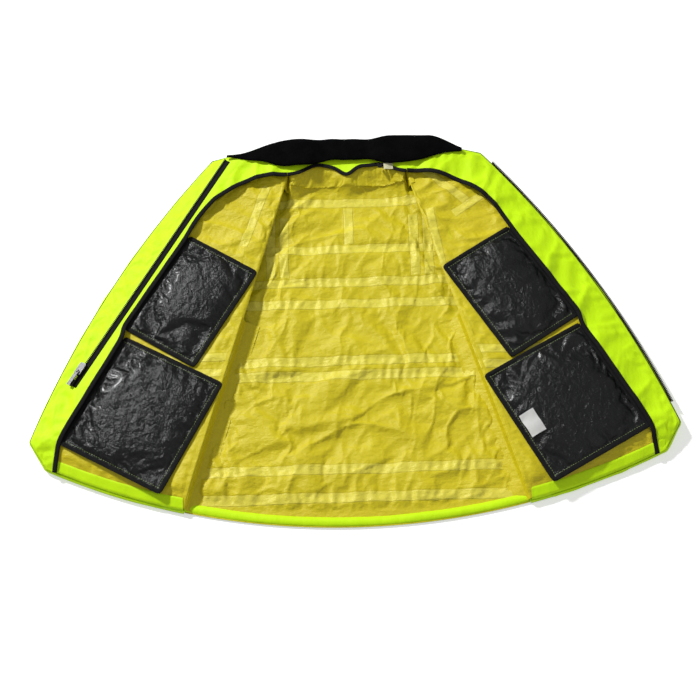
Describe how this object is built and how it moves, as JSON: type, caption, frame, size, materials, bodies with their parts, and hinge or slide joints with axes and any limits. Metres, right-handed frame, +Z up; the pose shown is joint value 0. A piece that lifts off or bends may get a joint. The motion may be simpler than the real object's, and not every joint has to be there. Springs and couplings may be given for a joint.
{
  "type": "inflatable life jacket",
  "caption": "Sleeveless inflatable life jacket, opened out on its back with its lining up, with folding fronts, inner pouches, front zip and hidden inflation set.",
  "frame": {"origin": "middle of the opened jacket's outline, on the surface that its back lies on", "axes": "+X towards the wearer's left front, +Y from the hem to the collar, +Z up from the back's outside to the lining"},
  "size_m": [1.148, 0.744, 0.0394],
  "materials": {
    "binding": "folded woven tape",
    "bladder_film": "coated bladder cloth",
    "cap_plastic": "moulded",
    "cylinder_steel": "zinc plated",
    "fleece": "brushed fleece",
    "inflator_plastic": "moulded",
    "label": "woven label",
    "lever_plastic": "moulded",
    "neon_cloth": "woven, fluorescent yellow-green",
    "oral_rubber": "moulded",
    "pouch_nylon": "coated nylon with a gloss",
    "reflective_band": "retro-reflective",
    "seam_tape": "heat-sealed film",
    "slider_metal": "enamelled",
    "yellow_lining": "coated, slightly glossy yellow",
    "zip_plastic": "moulded",
    "zip_tape": "woven zip tape"
  },
  "bodies": {
    "back": {"back_shell": "neon_cloth", "back_reflective_bands": "reflective_band", "back_lining": "yellow_lining", "back_seam_tapes": "seam_tape", "back_hem_facing": "neon_cloth", "bladder_neck": "bladder_film", "neck_facing": "neon_cloth", "neck_binding": "binding", "collar_centre": "fleece", "neck_label": "label", "hanger_loop": "binding"},
    "left_front": {"left_front_shell": "neon_cloth", "left_front_reflective_bands": "reflective_band", "left_armhole_lip": "neon_cloth", "left_front_lining": "yellow_lining", "left_front_hem_facing": "neon_cloth", "left_front_facing": "neon_cloth", "left_facing_binding": "binding", "left_bladder_lobe": "bladder_film", "left_collar_end": "fleece", "left_zip_tape": "zip_tape", "left_zip_chain": "zip_plastic", "oral_tube": "oral_rubber"},
    "right_front": {"right_front_shell": "neon_cloth", "right_front_reflective_bands": "reflective_band", "right_armhole_lip": "neon_cloth", "right_front_lining": "yellow_lining", "right_front_hem_facing": "neon_cloth", "right_front_facing": "neon_cloth", "right_facing_binding": "binding", "right_bladder_lobe": "bladder_film", "right_collar_end": "fleece", "right_zip_tape": "zip_tape", "right_zip_chain": "zip_plastic", "right_zip_box": "zip_plastic", "inflator_body": "inflator_plastic"},
    "left_upper_pouch": {"left_upper_pouch_back": "pouch_nylon", "left_upper_pouch_front": "pouch_nylon", "left_upper_pouch_gusset": "pouch_nylon", "left_upper_pouch_binding": "binding"},
    "left_lower_pouch": {"left_lower_pouch_back": "pouch_nylon", "left_lower_pouch_front": "pouch_nylon", "left_lower_pouch_gusset": "pouch_nylon", "left_lower_pouch_binding": "binding", "care_label": "label"},
    "right_upper_pouch": {"right_upper_pouch_back": "pouch_nylon", "right_upper_pouch_front": "pouch_nylon", "right_upper_pouch_gusset": "pouch_nylon", "right_upper_pouch_binding": "binding"},
    "right_lower_pouch": {"right_lower_pouch_back": "pouch_nylon", "right_lower_pouch_front": "pouch_nylon", "right_lower_pouch_gusset": "pouch_nylon", "right_lower_pouch_binding": "binding"},
    "zip_slider": {"zip_slider": "slider_metal"},
    "zip_puller": {"zip_puller": "slider_metal"},
    "gas_cylinder": {"gas_cylinder": "cylinder_steel"},
    "water_cap": {"water_cap": "cap_plastic"},
    "manual_lever": {"manual_lever": "lever_plastic"},
    "oral_cap": {"oral_cap": "cap_plastic"},
    "valve_core": {"oral_valve_core": "inflator_plastic"}
  },
  "joints": [
    {"name": "left_front_fold", "type": "hinge", "parent": "back", "child": "left_front", "pos_m": [0.11, 0.33, 0.029], "axis": [0.2738, -0.9618, 0], "range_deg": [0, 138]},
    {"name": "right_front_fold", "type": "hinge", "parent": "back", "child": "right_front", "pos_m": [-0.11, 0.33, 0.029], "axis": [0.2738, 0.9618, 0], "range_deg": [0, 138]},
    {"name": "left_upper_pouch_swing", "type": "hinge", "parent": "left_front", "child": "left_upper_pouch", "pos_m": [0.30356, 0.18441, 0.0406], "axis": [0.5224, -0.8527, 0], "range_deg": [-95, 0]},
    {"name": "left_lower_pouch_swing", "type": "hinge", "parent": "left_front", "child": "left_lower_pouch", "pos_m": [0.416, -0.0168, 0.0406], "axis": [0.4693, -0.883, 0], "range_deg": [-95, 0]},
    {"name": "right_upper_pouch_swing", "type": "hinge", "parent": "right_front", "child": "right_upper_pouch", "pos_m": [-0.30356, 0.18441, 0.0406], "axis": [0.5224, 0.8527, 0], "range_deg": [-95, 0]},
    {"name": "right_lower_pouch_swing", "type": "hinge", "parent": "right_front", "child": "right_lower_pouch", "pos_m": [-0.416, -0.0168, 0.0406], "axis": [0.4693, 0.883, 0], "range_deg": [-95, 0]},
    {"name": "zip_slide", "type": "slide", "parent": "right_front", "child": "zip_slider", "axis": [0.5119, 0.859, 0.0102], "range_m": [0, 0.475]},
    {"name": "puller_hinge", "type": "hinge", "parent": "zip_slider", "child": "zip_puller", "pos_m": [-0.49419, -0.08099, 0.03675], "axis": [-0.8285, 0.4967, -0.2586], "range_deg": [0, 170]},
    {"name": "cylinder_screw", "type": "hinge", "parent": "right_front", "child": "gas_cylinder", "pos_m": [-0.34804, -0.11898, 0.0133], "axis": [-0.9618, 0.2738, 0], "range_deg": [-360, 0]},
    {"name": "water_cap_screw", "type": "hinge", "parent": "right_front", "child": "water_cap", "pos_m": [-0.30543, -0.13111, 0.0133], "axis": [0.9618, -0.2738, 0], "range_deg": [-360, 0]},
    {"name": "manual_lever_pull", "type": "hinge", "parent": "right_front", "child": "manual_lever", "pos_m": [-0.31827, -0.15688, 0.0133], "axis": [0, 0, 1], "range_deg": [0, 90]},
    {"name": "oral_cap_pull", "type": "slide", "parent": "left_front", "child": "oral_cap", "axis": [-0.2738, 0.9618, 0], "range_m": [0, 0.02]},
    {"name": "valve_core_press", "type": "slide", "parent": "left_front", "child": "valve_core", "axis": [-0.2738, 0.9618, 0], "range_m": [-0.003, 0], "stiffness_N_per_m": 200, "springref_m": 0.001}
  ]
}
